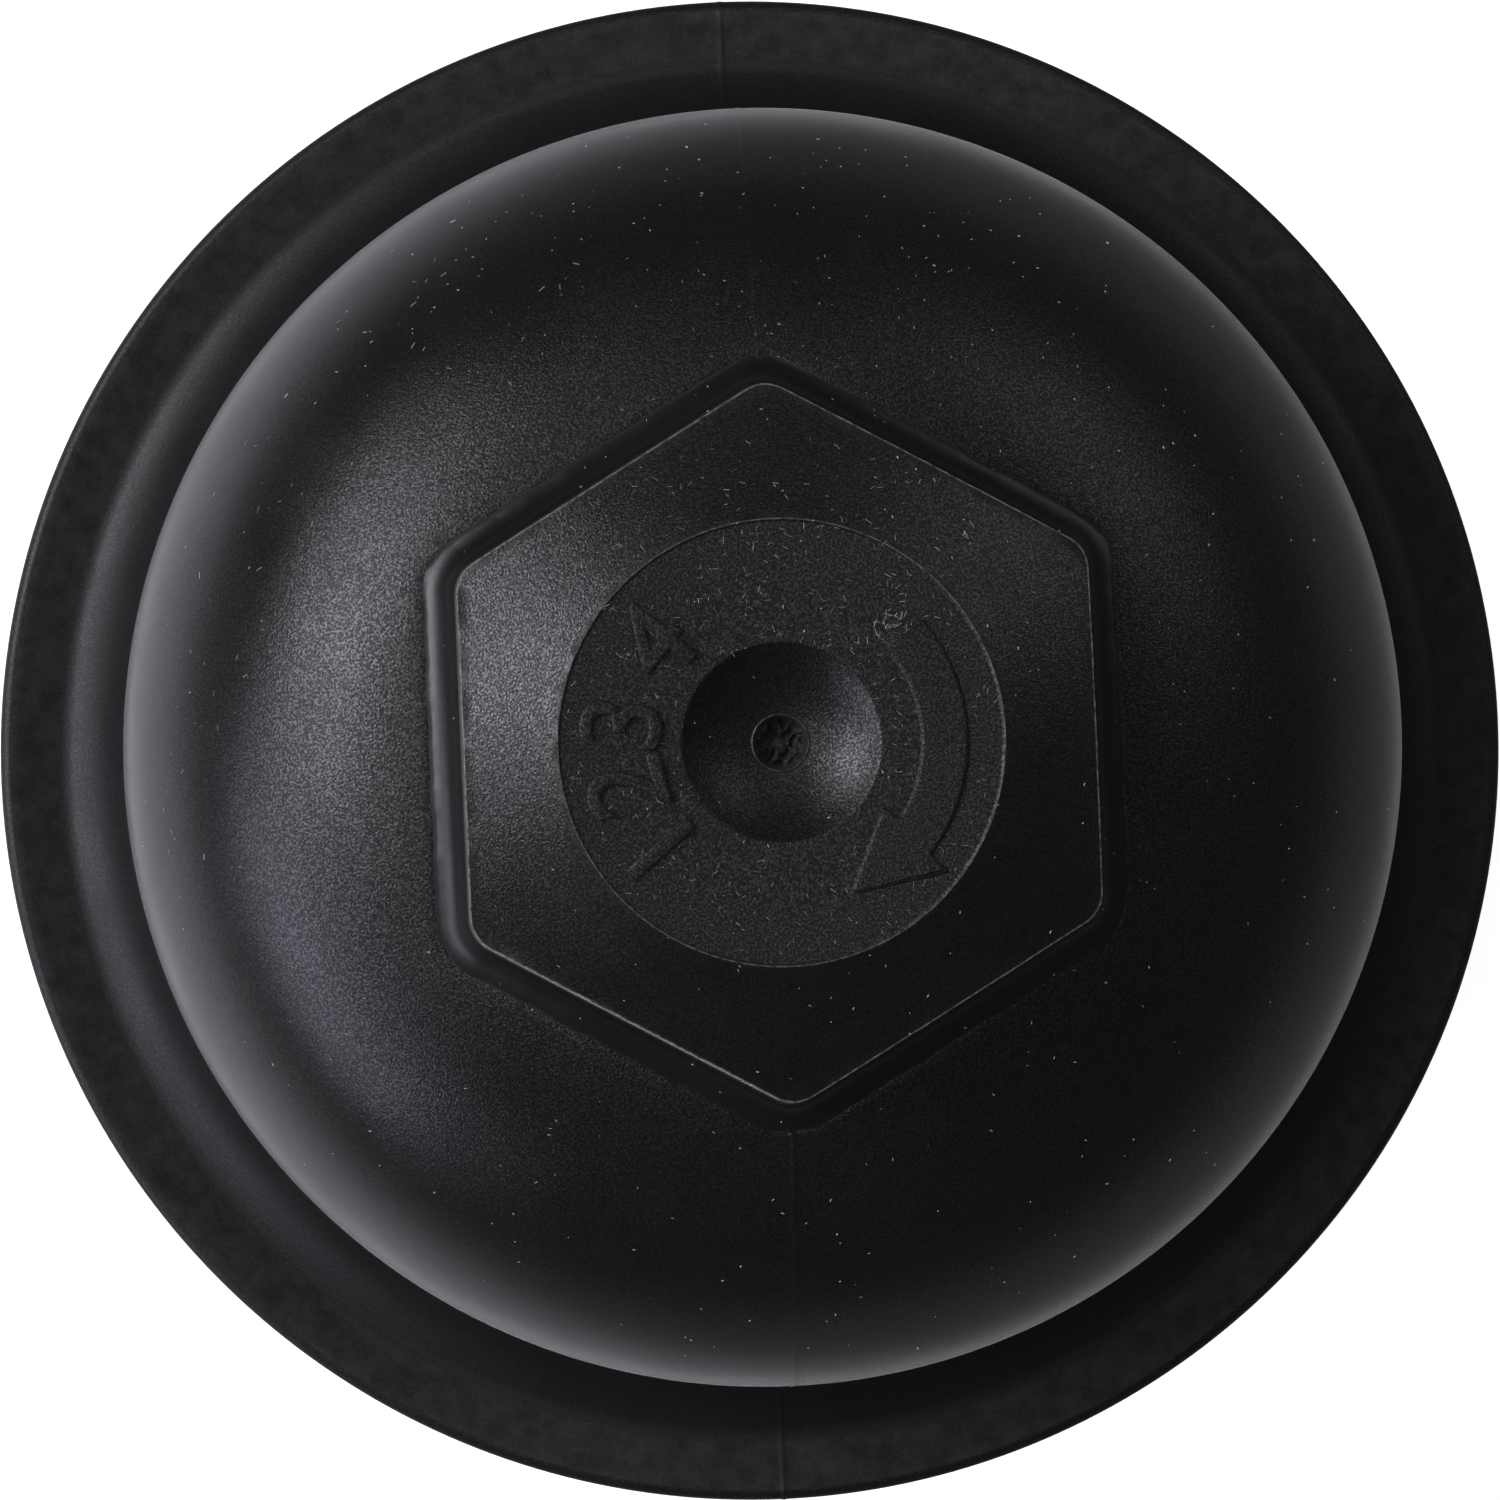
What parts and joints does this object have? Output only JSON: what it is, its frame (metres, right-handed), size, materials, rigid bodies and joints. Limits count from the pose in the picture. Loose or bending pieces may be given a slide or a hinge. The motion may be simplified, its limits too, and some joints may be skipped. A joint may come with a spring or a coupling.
{
  "type": "oil filter housing cap",
  "caption": "Black screw-in oil filter cap with a hex drive, domed shell, flange, seal ring and threaded skirt, holding a bypass valve and a pleated filter element.",
  "frame": {"origin": "on the axis, at the level of the foot ring that the filter element stands on", "axes": "+Z along the axis towards the hex; +X out of one of the hex's flats"},
  "size_m": [0.084, 0.084, 0.1413],
  "materials": {
    "cap_nylon": "black glass-filled nylon, spark-eroded grain on the dome and satin on the hex",
    "seal_rubber": "matte moulded rubber",
    "valve_nylon": "moulded grey nylon",
    "spring_steel": "drawn spring wire",
    "plate_plastic": "moulded dark plastic",
    "filter_paper": "resin-treated pleated filter paper"
  },
  "bodies": {
    "element": {"lower_end_plate": "plate_plastic", "upper_end_plate": "plate_plastic", "filter_pleats": "filter_paper", "support_core": "plate_plastic", "upper_seal": "seal_rubber", "lower_seal": "seal_rubber"},
    "cage": {"valve_cage": "valve_nylon", "spring_retainer": "valve_nylon", "valve_spring": "spring_steel"},
    "valve": {"valve_disc": "valve_nylon", "valve_disc_seal": "seal_rubber"},
    "cap": {"cap_shell": "cap_nylon", "main_seal_ring": "seal_rubber"}
  },
  "joints": [
    {"name": "element_pull", "type": "slide", "parent": "element", "child": "cage", "axis": [0, 0, 1], "range_m": [0, 0.045]},
    {"name": "cap_turn", "type": "hinge", "parent": "cage", "child": "cap", "pos_m": [0, 0, 0.0933], "axis": [0, 0, 1], "continuous": true},
    {"name": "valve_open", "type": "slide", "parent": "cage", "child": "valve", "axis": [0, 0, -1], "range_m": [0, 0.004], "stiffness_N_per_m": 1500, "springref_m": -0.006, "deforming": ["valve_spring"]}
  ]
}
